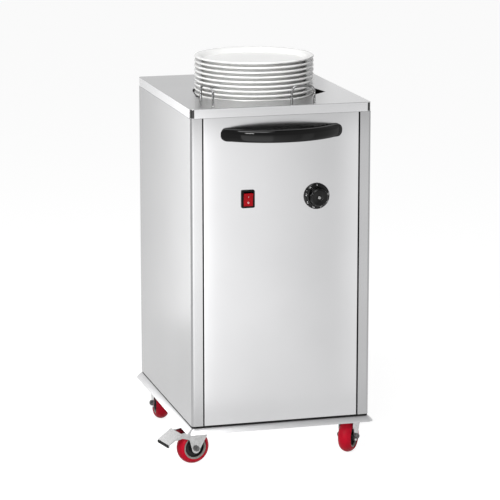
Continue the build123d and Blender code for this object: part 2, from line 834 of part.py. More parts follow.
with BuildPart() as wire_loop_nuts:
    with BuildSketch(Plane.XY.offset(top_height - sheet)):
        with Locations(*foot_places):
            RegularPolygon(fence_nut / 2, 6, major_radius=False)
            Circle(fence_wire / 2, mode=Mode.SUBTRACT)
    extrude(amount=-fence_nut / 2)
finish(wire_loop_nuts, "wire_loop_nuts")

# Cable gland: a nut and a domed cap on the back panel, bored for a cable.
gland_place = (gland_x, back_y + sheet, cabinet_z + gland_height)
gland_plane = Plane(origin=gland_place, x_dir=(-1, 0, 0), z_dir=(0, 1, 0))
inside_nut = 5
with BuildPart() as cable_gland:
    with BuildSketch(gland_plane):
        RegularPolygon(gland_hex / 2, 6, major_radius=False)
    extrude(amount=(gland_reach - sheet) / 2)
    with BuildSketch(gland_plane.offset((gland_reach - sheet) / 2)):
        Circle(gland_hex / 2 - 2)
    extrude(amount=(gland_reach - sheet) / 2)
    fillet(cable_gland.edges().group_by(Axis.Y)[-1], 3)
    with BuildSketch(gland_plane):
        Circle(gland_thread / 2)
    extrude(amount=-sheet - inside_nut)
    with BuildSketch(gland_plane.offset(-sheet)):
        RegularPolygon(gland_hex / 2, 6, major_radius=False)
    extrude(amount=-inside_nut)
    with BuildSketch(gland_plane.offset(gland_reach - sheet)):
        Circle(gland_bore / 2)
    extrude(amount=-gland_reach - inside_nut, mode=Mode.SUBTRACT)
finish(cable_gland, "cable_gland")

# Terminal block: a row of screw terminals on the base behind the well.
terminal_x = 128
terminal_inset = 60
terminal_y = back_y - terminal_inset
terminal_size = (70, 24, 22)
with BuildPart() as terminal_block:
    with BuildSketch(Plane.XY.offset(deck_z)):
        with Locations((terminal_x, terminal_y)):
            Rectangle(terminal_size[0], terminal_size[1])
    extrude(amount=terminal_size[2])
    with BuildSketch(Plane.XY.offset(deck_z + terminal_size[2])):
        with Locations((terminal_x, terminal_y)):
            with GridLocations(12, 12, 5, 2):
                Circle(2.5)
    extrude(amount=-6, mode=Mode.SUBTRACT)
finish(terminal_block, "terminal_block")

# Wiring: sleeved leads from the terminals to the thermostat, the switch and the element.
terminal_right = terminal_x + terminal_size[0] / 2
terminal_left = terminal_x - terminal_size[0] / 2
lead_row = terminal_size[1] / 4
side_run_x = rod_x + block_width / 2 + lead_diameter + 2
front_run_y = front_y + panel_fold + lead_diameter + 2
control_y = front_y + sheet + thermostat_depth / 2
switch_side = switch_x + bezel_width / 2 - bezel_lap
thermostat_side = knob_x - thermostat_size / 2
leads = [
    [
        (terminal_right, terminal_y, lead_z),
        (side_run_x, terminal_y, lead_z),
        (side_run_x, front_run_y, lead_z),
        (knob_x, front_run_y, lead_z),
        (knob_x, front_run_y, knob_z - thermostat_size / 2),
    ],
    [
        (thermostat_side, control_y, knob_z),
        (thermostat_side - 30, control_y, knob_z),
        (thermostat_side - 50, control_y, knob_z - 22),
        (switch_side + 50, control_y, switch_z - 22),
        (switch_side + 30, control_y, switch_z),
        (switch_side, control_y, switch_z),
    ],
    [
        (terminal_left, terminal_y - lead_row, lead_z),
        (leg_x, terminal_y - lead_row, lead_z),
        (leg_x, leg_y + heater_tube / 2, lead_z),
    ],
    [
        (terminal_left, terminal_y + lead_row, lead_z),
        (-leg_x, terminal_y + lead_row, lead_z),
        (-leg_x, leg_y + heater_tube / 2, lead_z),
    ],
]
with BuildPart() as wiring:
    for points in leads:
        add(bent_tube(points, lead_bend, lead_diameter).part)
finish(wiring, "wiring")

# Castors: a bolted plate with its king pin, a swivelling fork, and a wheel on an axle bolt.
wheel_z = wheel_diameter / 2
plate_low = castor_height - castor_plate_thickness
head_top = plate_low - fork_head_gap
head_low = head_top - fork_head_height
crown_low = head_low - fork_sheet
fork_outer = fork_gap / 2 + fork_sheet
hub_half = fork_gap / 2 - side_play


def castor_plate(frame):
    """The plate under the base tray, with the raceway boss and the riveted king pin."""
    x, y = frame.origin.X, frame.origin.Y
    with BuildPart() as plate:
        with BuildSketch(Plane.XY.offset(plate_low)):
            with Locations((x, y)):
                RectangleRounded(castor_plate_width, castor_plate_length, 5)
                with GridLocations(castor_bolt_span_wide, castor_bolt_span_long, 2, 2):
                    Circle(castor_bolt / 2 + 0.3, mode=Mode.SUBTRACT)
        extrude(amount=castor_plate_thickness)
        with BuildSketch(Plane.XY.offset(plate_low)):
            with Locations((x, y)):
                Circle(fork_head_diameter / 2 - 6)
        extrude(amount=head_top - plate_low + side_play)
        with BuildSketch(Plane.XY.offset(plate_low)):
            with Locations((x, y)):
                Circle(king_pin / 2)
        extrude(amount=crown_low - plate_low - 3)
        with BuildSketch(Plane.XY.offset(crown_low - side_play)):
            with Locations((x, y)):
                Circle(king_pin * 0.85)
        extrude(amount=-2)
    return plate


def castor_fork(frame, braked):
    """Pressed steel: a round head on the king pin, and two legs that trail down to the axle."""
    side = side_of(frame)
    head = fork_head_diameter / 2
    nose = [(1.35 * head, crown_low - 6)]
    if braked:
        nose = [
            (pedal_pivot_x + 1, pedal_pivot_z + pedal_boss),
            (pedal_pivot_x + pedal_boss, pedal_pivot_z),
            (pedal_pivot_x + pedal_boss, pedal_pivot_z - pedal_ear),
        ]
    with BuildPart() as fork:
        with BuildSketch(side):
            with BuildLine():
                Polyline(
                    (castor_trail - fork_foot, wheel_z - 3),
                    (-head * 0.8, crown_low - 6),
                    (-head * 0.8, head_low),
                    (head * 0.8, head_low),
                    (head * 1.3, skirt_z - 1),
                    *nose,
                    (castor_trail + 1.7 * fork_foot, wheel_z + 24),
                    (castor_trail + fork_foot, wheel_z - 3),
                )
                ThreePointArc(
                    (castor_trail + fork_foot, wheel_z - 3),
                    (castor_trail, wheel_z - fork_foot - 2),
                    (castor_trail - fork_foot, wheel_z - 3),
                )
            make_face()
        extrude(amount=fork_outer, both=True)
        with BuildSketch(side):
            with BuildLine():
                Polyline(
                    (-2 * head, 0),
                    (3 * head, 0),
                    (3 * head, crown_low),
                    (-2 * head, crown_low),
                    close=True,
                )
            make_face()
        extrude(amount=fork_gap / 2, both=True, mode=Mode.SUBTRACT)
        with BuildSketch(frame.offset(head_low)):
            Circle(head)
        extrude(amount=fork_head_height)
        fillet(fork.edges().group_by(Axis.Z)[-1], 2)
        with BuildSketch(frame.offset(head_top)):
            Circle(king_pin / 2 + running_clearance)
        extrude(amount=crown_low - head_top, mode=Mode.SUBTRACT)
        with BuildSketch(side):
            with Locations((castor_trail, wheel_z)):
                Circle(axle_diameter / 2)
            if braked:
                with Locations((pedal_pivot_x, pedal_pivot_z)):
                    Circle(pedal_pin / 2 + running_clearance)
        extrude(amount=fork_outer, both=True, mode=Mode.SUBTRACT)
    return fork


def wheel_core(frame):
    """A cast hub, web and rim, bored for the axle."""
    side = side_of(frame)
    axis = Axis(side.origin + side.x_dir * castor_trail + side.y_dir * wheel_z, side.z_dir)
    plan = Plane(origin=axis.position, x_dir=side.y_dir, z_dir=side.x_dir * -1)
    rim = rim_diameter / 2
    with BuildPart() as core:
        with BuildSketch(plan):
            with BuildLine():
                Polyline(
                    (axle_diameter / 2 + running_clearance, -hub_half),
                    (hub_diameter / 2, -hub_half),
                    (hub_diameter / 2 + 1, -web_thickness / 2),
                    (rim - 5, -web_thickness / 2),
                    (rim - 3, -tyre_width / 2 + 2),
                    (rim, -tyre_width / 2 + 2),
                    (rim, tyre_width / 2 - 2),
                    (rim - 3, tyre_width / 2 - 2),
                    (rim - 5, web_thickness / 2),
                    (hub_diameter / 2 + 1, web_thickness / 2),
                    (hub_diameter / 2, hub_half),
                    (axle_diameter / 2 + running_clearance, hub_half),
                    close=True,
                )
            make_face()
        revolve(axis=axis)
    return core


def wheel_tyre(frame):
    """A moulded tyre with a crowned tread, bonded to the rim."""
    side = side_of(frame)
    axis = Axis(side.origin + side.x_dir * castor_trail + side.y_dir * wheel_z, side.z_dir)
    plan = Plane(origin=axis.position, x_dir=side.y_dir, z_dir=side.x_dir * -1)
    rim = rim_diameter / 2
    outer = wheel_diameter / 2
    half = tyre_width / 2
    with BuildPart() as tyre:
        with BuildSketch(plan):
            with BuildLine():
                Line((rim, -half + 2), (rim, half - 2))
                Line((rim, half - 2), (rim + 1, half))
                Line((rim + 1, half), (outer - tyre_round, half))
                ThreePointArc((outer - tyre_round, half), (outer, 0), (outer - tyre_round, -half))
                Line((outer - tyre_round, -half), (rim + 1, -half))
                Line((rim + 1, -half), (rim, -half + 2))
            make_face()
        revolve(axis=axis)
    return tyre


def axle_bolt(frame):
    """A bolt through the fork legs and the hub, with its head and nut outside the legs."""
    side = side_of(frame)
    with BuildPart() as axle:
        with BuildSketch(side):
            with Locations((castor_trail, wheel_z)):
                Circle(axle_diameter / 2)
        extrude(amount=fork_outer + axle_nut_height + 2, both=True)
        for direction in (1, -1):
            with BuildSketch(side.offset(direction * fork_outer)):
                with Locations((castor_trail, wheel_z)):
                    RegularPolygon(axle_nut / 2, 6, major_radius=False)
            extrude(amount=direction * axle_nut_height)
    return axle


def brake_pedal(frame):
    """A pressed foot plate with a turned-down lip and two ears on a pin through the fork."""
    side = side_of(frame)
    ear_outer = fork_outer + side_play + pedal_sheet
    with BuildPart() as pedal:
        with BuildSketch(side):
            with BuildLine():
                Polyline(
                    (pedal_near_x, pedal_near_z),
                    (pedal_far_x, pedal_far_z),
                    (pedal_far_x, pedal_far_z - pedal_lip),
                    (pedal_far_x - pedal_sheet, pedal_far_z - pedal_lip),
                    (pedal_far_x - pedal_sheet, pedal_far_z - pedal_sheet),
                    (pedal_near_x - pedal_sheet, pedal_near_z - pedal_sheet),
                    close=True,
                )
            make_face()
        extrude(amount=pedal_width / 2, both=True)
        for direction in (1, -1):
            with BuildSketch(side.offset(direction * (ear_outer - pedal_sheet))):
                with BuildLine():
                    Polyline(
                        (pedal_pivot_x - pedal_ear, pedal_pivot_z - pedal_ear),
                        (pedal_pivot_x - pedal_ear, pedal_pivot_z + 4),
                        (pedal_near_x, pedal_near_z - 1),
                        (pedal_near_x + 18, pedal_near_z - 12.5),
                        (pedal_near_x + 12, pedal_near_z - 18),
                        (pedal_pivot_x, pedal_pivot_z - pedal_ear - 2),
                        close=True,
                    )
                make_face()
            extrude(amount=direction * pedal_sheet)
        with BuildSketch(side):
            with Locations((pedal_pivot_x, pedal_pivot_z)):
                Circle(pedal_pin / 2)
        extrude(amount=ear_outer + 1.5, both=True)
    return pedal


for place, (x, y, angle, braked) in castors.items():
    frame = upright(x, y, angle)
    finish(castor_plate(frame), f"castor_plate_{place}")
    finish(castor_fork(frame, braked), f"castor_fork_{place}")
    finish(wheel_core(frame), f"wheel_core_{place}")
    finish(wheel_tyre(frame), f"wheel_tyre_{place}")
    finish(axle_bolt(frame), f"axle_bolt_{place}")
    if braked:
        finish(brake_pedal(frame), f"brake_pedal_{place}")

# Castor bolts: a hexagon head under each plate's corner and a nut on the deck.
with BuildPart() as castor_bolts:
    with BuildSketch(Plane.XY.offset(plate_low)):
        with Locations(*bolt_places):
            Circle(castor_bolt * 0.9)
    extrude(amount=-3)
    with BuildSketch(Plane.XY.offset(plate_low)):
        with Locations(*bolt_places):
            Circle(castor_bolt / 2)
    extrude(amount=deck_z + 4 - plate_low)
    with BuildSketch(Plane.XY.offset(deck_z)):
        with Locations(*bolt_places):
            RegularPolygon(castor_bolt * 0.8, 6, major_radius=False)
    extrude(amount=castor_bolt * 0.6)
finish(castor_bolts, "castor_bolts")
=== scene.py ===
import json
from math import cos, pi, radians, sin

import bmesh
import bpy
import numpy as np
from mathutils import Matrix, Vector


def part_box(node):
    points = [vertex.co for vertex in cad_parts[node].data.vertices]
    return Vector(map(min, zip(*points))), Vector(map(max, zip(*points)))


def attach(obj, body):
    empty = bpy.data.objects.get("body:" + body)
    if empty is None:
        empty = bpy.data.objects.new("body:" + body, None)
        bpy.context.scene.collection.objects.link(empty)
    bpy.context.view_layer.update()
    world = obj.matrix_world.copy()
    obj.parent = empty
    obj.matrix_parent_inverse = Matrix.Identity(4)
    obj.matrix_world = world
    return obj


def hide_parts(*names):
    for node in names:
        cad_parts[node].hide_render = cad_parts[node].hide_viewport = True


# A heated plate dispenser: a stainless steel cabinet on four castors, with one sprung column of
# dinner plates that rises through its top. Metres, +Z up, the front faces -Y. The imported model
# gives every place, and the pieces below dress it in the order in which it is put together.
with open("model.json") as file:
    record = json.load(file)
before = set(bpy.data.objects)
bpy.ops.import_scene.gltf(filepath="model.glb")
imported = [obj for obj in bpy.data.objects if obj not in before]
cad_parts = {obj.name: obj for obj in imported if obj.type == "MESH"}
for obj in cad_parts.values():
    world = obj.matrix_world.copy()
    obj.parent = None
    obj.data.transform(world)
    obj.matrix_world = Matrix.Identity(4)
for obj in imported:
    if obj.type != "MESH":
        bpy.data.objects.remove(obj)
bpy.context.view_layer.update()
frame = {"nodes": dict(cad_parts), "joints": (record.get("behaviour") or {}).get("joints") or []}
scene = bpy.context.scene
scene.view_settings.view_transform = "Standard"


# The camera stands left of the front and above the top, far off behind a long lens, so that the
# cabinet's upright edges hardly lean.
heading = radians(15.34)
downward = radians(12.41)
camera_data = bpy.data.cameras.new("camera")
camera_data.lens = 181.15
camera_data.clip_end = 200
camera = bpy.data.objects.new("camera", camera_data)
camera.location = (-1.6795, -6.0873, 1.8795)
camera.rotation_euler = (pi / 2 - downward, 0, -heading)
scene.collection.objects.link(camera)
scene.camera = camera


# The floor and the air round it are plain white: rays from the camera, from gloss and through
# glass see them so, though the air is greyer overhead, as under a studio's ceiling. Only the
# floor's diffuse part takes the object's shadow.
def add_node(tree, kind, **sockets):
    """A shader node with the values that its named sockets are to have."""
    node = tree.nodes.new("ShaderNode" + kind)
    for socket, value in sockets.items():
        node.inputs[socket.replace("_", " ")].default_value = value
    return node


def add_math(tree, operation):
    """A sum or a product of its two inputs."""
    node = add_node(tree, "Math")
    node.operation = operation
    return node


def wired(tree, *wires):
    """Links sockets in pairs, each an output and the input that it feeds."""
    for output, target in wires:
        tree.links.new(output, target)


def seen_directly(tree):
    """Camera, glossy and transmission rays added together: 1 for any of them, 0 for the rest."""
    path = add_node(tree, "LightPath")
    total = path.outputs["Is Camera Ray"]
    for kind in ("Is Glossy Ray", "Is Transmission Ray"):
        plus = add_math(tree, "ADD")
        plus.use_clamp = True
        wired(tree, (total, plus.inputs[0]), (path.outputs[kind], plus.inputs[1]))
        total = plus.outputs[0]
    return total


floor_reach = 30
floor_white = 0.35
floor_lift = 0.9
floor_corners = np.array([(-1, -1, 0), (1, -1, 0), (1, 1, 0), (-1, 1, 0)]) * floor_reach
floor_mesh = bpy.data.meshes.new("floor")
floor_mesh.from_pydata(floor_corners.tolist(), [], [(0, 1, 2, 3)])
floor = bpy.data.objects.new("floor", floor_mesh)
scene.collection.objects.link(floor)
floor_paint = bpy.data.materials.new("floor_paint")
floor_paint.use_nodes = True
tree = floor_paint.node_tree
tree.nodes.clear()
matt = add_node(tree, "BsdfDiffuse", Color=(floor_white, floor_white, floor_white, 1))
glow = add_node(tree, "Emission")
both = add_node(tree, "AddShader")
lift = add_math(tree, "MULTIPLY")
lift.inputs[1].default_value = floor_lift
wired(tree,
      (seen_directly(tree), lift.inputs[0]),
      (lift.outputs[0], glow.inputs["Strength"]),
      (matt.outputs[0], both.inputs[0]),
      (glow.outputs[0], both.inputs[1]),
      (both.outputs[0], add_node(tree, "OutputMaterial").inputs["Surface"]))
floor_mesh.materials.append(floor_paint)

air_level = 0.18
ceiling_level = 0.45
ceiling_start = 0.55
world = bpy.data.worlds.new("air")
world.use_nodes = True
scene.world = world
tree = world.node_tree
tree.nodes.clear()
direction = add_node(tree, "TexCoord")
upwards = add_node(tree, "SeparateXYZ")
fade = add_node(tree, "MapRange", From_Min=ceiling_start, From_Max=1.0,
                To_Min=1.0, To_Max=ceiling_level)
backdrop = add_node(tree, "Background")
room = add_node(tree, "Background", Strength=air_level)
choice = add_node(tree, "MixShader")
wired(tree,
      (direction.outputs["Generated"], upwards.inputs[0]),
      (upwards.outputs["Z"], fade.inputs["Value"]),
      (fade.outputs["Result"], backdrop.inputs["Strength"]),
      (seen_directly(tree), choice.inputs[0]),
      (room.outputs[0], choice.inputs[1]),
      (backdrop.outputs[0], choice.inputs[2]),
      (choice.outputs[0], add_node(tree, "OutputWorld").inputs["Surface"]))


# Soft boxes light the steel from where it mirrors them: one overhead, one behind on the left for
# the side, one for glints, a faint one far behind for the right of the top, and a wide one ahead
# of the front panel, whose light dims from left to right.
def soft_box(name, place, target, width, height, power):
    """A rectangular lamp at a place, facing a target, of a power in watts."""
    lamp = bpy.data.lights.new(name, "AREA")
    lamp.shape = "RECTANGLE"
    lamp.size = width
    lamp.size_y = height
    lamp.energy = power
    holder = bpy.data.objects.new(name, lamp)
    holder.location = place
    facing = np.array(target, float) - np.array(place, float)
    level = np.hypot(facing[0], facing[1])
    pitched = pi / 2 + np.arctan2(facing[2], level)
    holder.rotation_euler = (pitched, 0, np.arctan2(-facing[0], facing[1]))
    scene.collection.objects.link(holder)
    return lamp


def dimmed(lamp, along, up):
    """Dims a lamp along its width and its height, by stops of (share of the way, brightness)."""
    lamp.use_nodes = True
    tree = lamp.node_tree
    place = add_node(tree, "NewGeometry")
    split = add_node(tree, "SeparateXYZ")
    product = add_math(tree, "MULTIPLY")
    wired(tree,
          (place.outputs["Parametric"], split.inputs[0]),
          (product.outputs[0], tree.nodes["Emission"].inputs["Strength"]))
    for index, (axis, stops) in enumerate((("X", along), ("Y", up))):
        ramp = add_node(tree, "ValToRGB")
        band = ramp.color_ramp
        for at, _ in stops[1:-1]:
            band.elements.new(at)
        for stop, (at, level) in zip(band.elements, stops):
            stop.position = at
            stop.color = (level, level, level, 1)
        wired(tree,
              (split.outputs[axis], ramp.inputs["Fac"]),
              (ramp.outputs["Color"], product.inputs[index]))


soft_box("box_over", (-0.9, -1.4, 2.9), (0, 0, 0.5), 1.6, 1.6, 68)
soft_box("box_behind", (-0.85, 0.95, 0.46), (-0.23, 0, 0.46), 0.6, 0.86, 2.4)
soft_box("box_glint", (-1.39, -2.03, 1.47), (0, -0.3, 0.85), 0.45, 0.2, 14)
soft_box("box_far", (0.78, 1.1, 1.13), (0.2, 0, 0.9), 0.5, 0.25, 0.11)
box_ahead = soft_box("box_ahead", (0, -0.73, 0.42), (0, 0, 0.42), 1.2, 0.8, 6.2)
dimmed(box_ahead,
       along=[(0, 1.0), (0.425, 1.0), (0.445, 0.38), (0.58, 0.25), (0.74, 0.05), (0.79, 0.3),
              (1, 0.3)],
       up=[(0, 0.4), (0.5, 0.88), (0.9, 0.95), (1, 0.25)])


# The base is a pressed stainless tray with its mouth down. Its rim flares outwards, so it hides
# the heads of the castors, and its deck carries the cabinet.
def joined(name, material, body, *grids, crease=40):
    """One closed mesh out of grids of points, each (rows, columns, 3). Neighbouring rows join by
    quads and each row closes on itself; rows that meet are merged, and faces turned outwards."""
    points = []
    faces = []
    start = 0
    for grid in grids:
        rows, columns = grid.shape[:2]
        here = np.arange(columns)
        along = np.arange(rows - 1)[:, None] * columns + start
        a = along + here
        b = along + (here + 1) % columns
        faces.append(np.stack([a, b, b + columns, a + columns], -1).reshape(-1, 4))
        points.append(grid.reshape(-1, 3))
        start += rows * columns
    mesh = bpy.data.meshes.new(name)
    mesh.from_pydata(np.concatenate(points).tolist(), [], np.concatenate(faces).tolist())
    work = bmesh.new()
    work.from_mesh(mesh)
    bmesh.ops.remove_doubles(work, verts=work.verts, dist=2e-6)
    bmesh.ops.recalc_face_normals(work, faces=work.faces)
    work.to_mesh(mesh)
    work.free()
    mesh.shade_smooth()
    mesh.set_sharp_from_angle(angle=radians(crease))
    mesh.materials.append(material)
    piece = bpy.data.objects.new(name, mesh)
    scene.collection.objects.link(piece)
    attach(piece, body)
    return piece


def eased(line, reach, steps=4):
    """A line of points whose inner corners give way to short curves. Each is the quadratic curve
    that leaves and meets the line `reach` away from the corner, or half a stretch away if that is
    less."""
    line = np.asarray(line, float)
    corner = line[1:-1]
    before = line[:-2] - corner
    after = line[2:] - corner
    length_before = np.linalg.norm(before, axis=1)[:, None]
    length_after = np.linalg.norm(after, axis=1)[:, None]
    cut = np.minimum(reach, np.minimum(length_before, length_after) * 0.49)
    enter = (corner + before / length_before * cut)[:, None]
    leave = (corner + after / length_after * cut)[:, None]
    t = np.linspace(0, 1, steps + 1)[None, :, None]
    curve = (1 - t) ** 2 * enter + 2 * t * (1 - t) * corner[:, None] + t**2 * leave
    return np.concatenate([line[:1], curve.reshape(-1, line.shape[1]), line[-1:]])


def rounded_ring(half_x, half_y, radius, steps=6):
    """Points round a rectangle with arc corners: each corner's centre plus its radius, turned
    through a quarter circle. Arrays of sizes give one ring for each."""
    turn = np.linspace(0, pi / 2, steps + 1)[None, :] + np.arange(4)[:, None] * pi / 2
    sides = np.array([(1, 1), (-1, 1), (-1, -1), (1, -1)])[:, None]
    half = np.stack([half_x, half_y], -1)[..., None, None, :]
    radius = np.asarray(radius)[..., None, None, None]
    ring = sides * (half - radius) + radius * np.stack([np.cos(turn), np.sin(turn)], -1)
    return ring.reshape(*ring.shape[:-3], -1, 2)


def pressed(centre, half_x, half_y, corner, profile):
    """A sheet form: every profile point (inset, height) is a rounded rectangle that much smaller on
    each side, at that height; an inset past the middle closes the form with a point."""
    inset, height = profile.T
    x = np.maximum(half_x - inset, 0)
    y = np.maximum(half_y - inset, 0)
    radius = np.minimum(np.maximum(corner - inset, tightest_corner), np.minimum(x, y))
    rings = rounded_ring(x, y, radius) + centre
    heights = np.broadcast_to(height[:, None, None], rings.shape[:2] + (1,))
    return np.concatenate([rings, heights], -1)


def new_finish(name, metallic):
    """A material with its node tree, its shader and the Object coordinates for its patterns."""
    material = bpy.data.materials.new(name)
    material.use_nodes = True
    tree = material.node_tree
    shader = tree.nodes["Principled BSDF"]
    shader.inputs["Metallic"].default_value = metallic
    return material, tree, shader, add_node(tree, "TexCoord").outputs["Object"]


def steel(name, grain, tone, roughness, scratch=0.02):
    """Stainless sheet as the rolling mill and a fine belt leave it: metallic, with long faint
    scratches. The grain is the pattern's scale along X, Y and Z; the smallest runs along them."""
    material, tree, shader, place = new_finish(name, metallic=1)
    stretch = add_node(tree, "Mapping", Scale=grain)
    lines = add_node(tree, "TexNoise", Scale=1.0, Detail=4.0, Roughness=0.65)
    cloud = add_node(tree, "TexNoise", Scale=5.0, Detail=2.0)
    gloss = add_node(tree, "MapRange", From_Min=0.3, From_Max=0.7,
                     To_Min=roughness * 0.94, To_Max=roughness * 1.06)
    shade = add_node(tree, "MapRange", From_Min=0.25, From_Max=0.75,
                     To_Min=tone * 0.97, To_Max=tone * 1.03)
    cooler = add_math(tree, "MULTIPLY")
    cooler.inputs[1].default_value = 1.012
    colour = add_node(tree, "CombineColor")
    bump = add_node(tree, "Bump", Strength=scratch, Distance=0.0002)
    wired(tree,
          (place, stretch.inputs["Vector"]),
          (stretch.outputs["Vector"], lines.inputs["Vector"]),
          (place, cloud.inputs["Vector"]),
          (lines.outputs["Fac"], gloss.inputs["Value"]),
          (gloss.outputs["Result"], shader.inputs["Roughness"]),
          (cloud.outputs["Fac"], shade.inputs["Value"]),
          (shade.outputs["Result"], colour.inputs["Red"]),
          (shade.outputs["Result"], colour.inputs["Green"]),
          (shade.outputs["Result"], cooler.inputs[0]),
          (cooler.outputs[0], colour.inputs["Blue"]),
          (colour.outputs["Color"], shader.inputs["Base Color"]),
          (lines.outputs["Fac"], bump.inputs["Height"]),
          (bump.outputs["Normal"], shader.inputs["Normal"]))
    return material


across_grain = (6, 6, 900)
upright_grain = (900, 900, 6)
# The tray's steel is made lighter than the cabinet's: a lit copy of the same stainless, painted
# light.
base_steel_lit = steel("base_steel_lit", across_grain, tone=0.68, roughness=0.3, scratch=0.004)
low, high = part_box("base_tray")
tray_half_x, tray_half_y = (high.x - low.x) / 2, (high.y - low.y) / 2
tray_centre = ((low.x + high.x) / 2, (low.y + high.y) / 2)
tray_sheet = 0.002
tray_corner = 0.018
tightest_corner = 0.0005
tray_bend = 0.003
flare = 0.010
past_middle = 1
outside = eased([(past_middle, high.z), (flare + 0.0045, high.z), (flare - 0.001, high.z - 0.004),
                 (0.004, low.z + 0.005), (0.0, low.z)], tray_bend)
inside = eased([(tray_sheet, low.z), (tray_sheet + 0.004, low.z + 0.0055),
                (flare + tray_sheet, high.z - 0.0055), (flare + 0.006, high.z - tray_sheet),
                (past_middle, high.z - tray_sheet)], tray_bend)
tray_line = np.concatenate([outside, inside])
tray = pressed(tray_centre, tray_half_x, tray_half_y, tray_corner, tray_line)
base = joined("base", base_steel_lit, "cabinet", tray)
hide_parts("base_tray")


# The castor wheels: a red polyurethane tyre with a crowned tread, moulded on a grey cast core
# that has a raised rim and a hub. Inside the rim, the dished web and the hub are black: painted
# shade of that recess.
def turned(profile, centre, axis, steps=96):
    """A lathe form: profile points (distance from the axis, distance along it) swept round it."""
    along = np.asarray(axis, float) / np.linalg.norm(axis)
    side = np.cross(along, (0, 0, 1.0) if abs(along[2]) < 0.9 else (1.0, 0, 0))
    side /= np.linalg.norm(side)
    up = np.cross(along, side)
    turn = np.linspace(0, 2 * pi, steps, endpoint=False)[:, None]
    ring = np.cos(turn) * side + np.sin(turn) * up
    profile = np.asarray(profile, float)
    out = profile[:, 0, None, None] * ring
    return np.asarray(centre) + out + profile[:, 1, None, None] * along


def moulded(name, colour, roughness, speck=120, relief=0.02, variation=0.06, sheen=0.4):
    """A moulded or cast surface: one colour with faint cloudy variation, and a fine tooled skin."""
    material, tree, shader, place = new_finish(name, metallic=0)
    shader.inputs["Specular IOR Level"].default_value = sheen
    cloud = add_node(tree, "TexNoise", Scale=speck / 8, Detail=3.0)
    skin = add_node(tree, "TexNoise", Scale=speck * 6, Detail=2.0)
    paint = add_node(tree, "Mix")
    paint.data_type = "RGBA"
    darker, lighter, mixed = paint.inputs[6], paint.inputs[7], paint.outputs[2]
    darker.default_value = [c * (1 - variation) for c in colour] + [1]
    lighter.default_value = [min(c * (1 + variation), 1) for c in colour] + [1]
    gloss = add_node(tree, "MapRange", To_Min=roughness * 0.85, To_Max=roughness * 1.15)
    bump = add_node(tree, "Bump", Strength=relief, Distance=0.0003)
    wired(tree,
          (place, cloud.inputs["Vector"]),
          (place, skin.inputs["Vector"]),
          (cloud.outputs["Fac"], paint.inputs[0]),
          (mixed, shader.inputs["Base Color"]),
          (cloud.outputs["Fac"], gloss.inputs["Value"]),
          (gloss.outputs["Result"], shader.inputs["Roughness"]),
          (skin.outputs["Fac"], bump.inputs["Height"]),
          (bump.outputs["Normal"], shader.inputs["Normal"]))
    return material


tyre_red = moulded("tyre_red", (0.6, 0.006, 0.026), 0.45,
                   speck=90, variation=0.1, relief=0.05, sheen=0.12)
core_grey = moulded("core_grey", (0.3, 0.29, 0.265), 0.45, speck=150, relief=0.2)
recess_shade_black = moulded("recess_shade_black", (0.02, 0.02, 0.02), 0.4, speck=150, relief=0.2, sheen=0.2)
places = ("front_left", "front_right", "rear_left", "rear_right")
joints = {joint["child"]: joint for joint in frame["joints"]}
wheel_radius = 0.0425
tyre_half = 0.017
rim_radius = 0.0305
tread_fall = 0.010
tread_arc = (tyre_half**2 + tread_fall**2) / (2 * tread_fall)
shoulder = wheel_radius - tread_fall
tread_side = np.sin(np.linspace(-1, 1, 25) * pi / 2) * tyre_half
tread_out = wheel_radius - tread_arc + np.sqrt(tread_arc**2 - tread_side**2)
tread = np.column_stack([tread_out, tread_side])
wall = np.array([(shoulder - 0.001, tyre_half - 0.0001), (rim_radius + 0.001, tyre_half - 0.0004)])
seat = eased([(rim_radius + 0.001, tyre_half), (rim_radius, tyre_half - 0.001),
              (rim_radius, -tyre_half + 0.001), (rim_radius + 0.001, -tyre_half)], 0.001)
tyre_line = np.concatenate([tread, wall, seat, wall[::-1] * (1, -1), tread[:1]])
axle_bore = 0.00405
hub_half = 0.0182
shade_radius = rim_radius - 0.0055
half_core = eased([(axle_bore, hub_half), (0.0115, hub_half), (0.0128, hub_half - 0.002),
                   (0.014, 0.006), (0.0232, 0.005), (0.0252, 0.0118), (0.0262, 0.0148),
                   (0.0296, 0.0148), (0.0303, 0.0140), (0.03035, 0.0)], 0.0012)
core_line = np.concatenate([half_core, half_core[::-1] * (1, -1), half_core[:1]])
for place in places:
    axle = np.array(joints[f"wheel_{place}"]["pos_m"])
    across = np.array(joints[f"wheel_{place}"]["axis"])
    tyre_form = turned(tyre_line, axle, across)
    tyre = joined(f"tyre_{place}", tyre_red, f"wheel_{place}", tyre_form, crease=60)
    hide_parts(f"wheel_tyre_{place}")
    core_form = turned(core_line, axle, across)
    core_piece = joined(f"core_{place}", core_grey, f"wheel_{place}", core_form)
    core_piece.data.materials.append(recess_shade_black)
    core_faces = core_piece.data.polygons
    middles = np.empty(len(core_faces) * 3)
    core_faces.foreach_get("center", middles)
    arm = middles.reshape(-1, 3) - axle
    from_axle = np.linalg.norm(arm - np.outer(arm @ across, across), axis=1)
    # Faces inside the rim take the second material, black: painted shade of the core's recess.
    core_faces.foreach_set("material_index", (from_axle < shade_radius).astype(np.int32))
    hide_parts(f"wheel_core_{place}")
